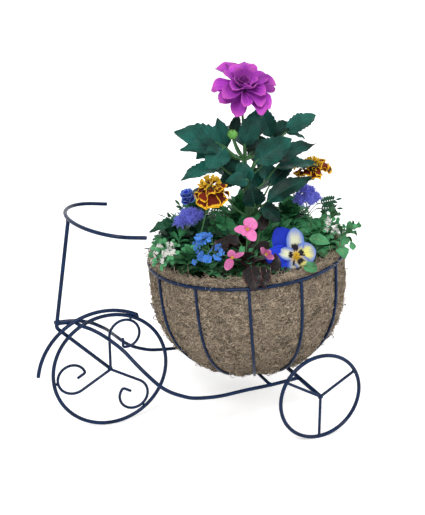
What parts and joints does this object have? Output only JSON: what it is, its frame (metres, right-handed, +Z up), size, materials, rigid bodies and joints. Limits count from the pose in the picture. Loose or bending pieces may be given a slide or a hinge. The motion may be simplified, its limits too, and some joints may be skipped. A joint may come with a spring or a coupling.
{
  "type": "tricycle planter",
  "caption": "Free-standing wire tricycle planter whose round rib basket holds a coco fibre liner with a mixed flower planting.",
  "frame": {"origin": "centre of the whole object's box on the ground under it", "axes": "+Z up, -X towards the front wheel and handlebar, -Y the near side in the picture, where the front wheel's rim lies beside the fork"},
  "size_m": [0.4868, 0.334, 0.5381],
  "materials": {
    "ageratum_petal": "matte",
    "alyssum_petal": "matte",
    "bedding_leaf": "matte",
    "begonia_petal": "matte",
    "bronze_leaf": "satin",
    "bud_green": "satin",
    "coco_fibre": "matte",
    "dahlia_leaf": "satin",
    "dahlia_petal": "matte",
    "lobelia_petal": "matte",
    "marigold_petal": "matte",
    "pansy_petal": "matte",
    "powder_coated_rod": "satin",
    "soil": "matte",
    "viola_petal": "matte"
  },
  "bodies": {
    "wire_frame": {"basket_foot_ring": "powder_coated_rod", "basket_rib_01": "powder_coated_rod", "basket_rib_02": "powder_coated_rod", "basket_rib_03": "powder_coated_rod", "basket_rib_04": "powder_coated_rod", "basket_rib_05": "powder_coated_rod", "basket_rib_06": "powder_coated_rod", "basket_rib_07": "powder_coated_rod", "basket_rib_08": "powder_coated_rod", "basket_rib_09": "powder_coated_rod", "basket_rib_10": "powder_coated_rod", "basket_rib_11": "powder_coated_rod", "basket_rib_12": "powder_coated_rod", "basket_ring": "powder_coated_rod", "cross_bar": "powder_coated_rod", "far_rear_rim": "powder_coated_rod", "far_rear_spoke_1": "powder_coated_rod", "far_rear_spoke_2": "powder_coated_rod", "far_rear_spoke_3": "powder_coated_rod", "far_side_rail": "powder_coated_rod", "front_wheel_rim": "powder_coated_rod", "handlebar": "powder_coated_rod", "mudguard_arc": "powder_coated_rod", "near_rear_rim": "powder_coated_rod", "near_rear_spoke_1": "powder_coated_rod", "near_rear_spoke_2": "powder_coated_rod", "near_rear_spoke_3": "powder_coated_rod", "near_side_rail": "powder_coated_rod", "rear_axle": "powder_coated_rod", "scroll_spoke_1": "powder_coated_rod", "scroll_spoke_2": "powder_coated_rod", "scroll_spoke_3": "powder_coated_rod", "stem_and_fork": "powder_coated_rod"},
    "planting": {"ageratum_left": "ageratum_petal", "ageratum_right": "ageratum_petal", "ageratum_tuft_left": "bedding_leaf", "ageratum_tuft_right": "bedding_leaf", "alyssum_left": "alyssum_petal", "alyssum_right": "alyssum_petal", "alyssum_tuft_left": "bedding_leaf", "alyssum_tuft_right": "bedding_leaf", "begonia_left": "begonia_petal", "begonia_right": "begonia_petal", "begonia_tuft": "bronze_leaf", "begonia_upper": "begonia_petal", "coco_liner": "coco_fibre", "dahlia_bloom": "dahlia_petal", "dahlia_bud": "bud_green", "dahlia_plant": "dahlia_leaf", "grass_tuft_left": "bedding_leaf", "grass_tuft_right": "bedding_leaf", "lobelia_blooms": "lobelia_petal", "marigold_left": "marigold_petal", "marigold_right": "marigold_petal", "pansy_bloom": "pansy_petal", "pansy_tuft": "bedding_leaf", "potting_soil": "soil", "viola_bud": "viola_petal"}
  },
  "joints": [
    {"name": "lift_out", "type": "slide", "parent": "wire_frame", "child": "planting", "axis": [-0.0829, 0, 0.9966], "range_m": [0, 0.2]}
  ]
}
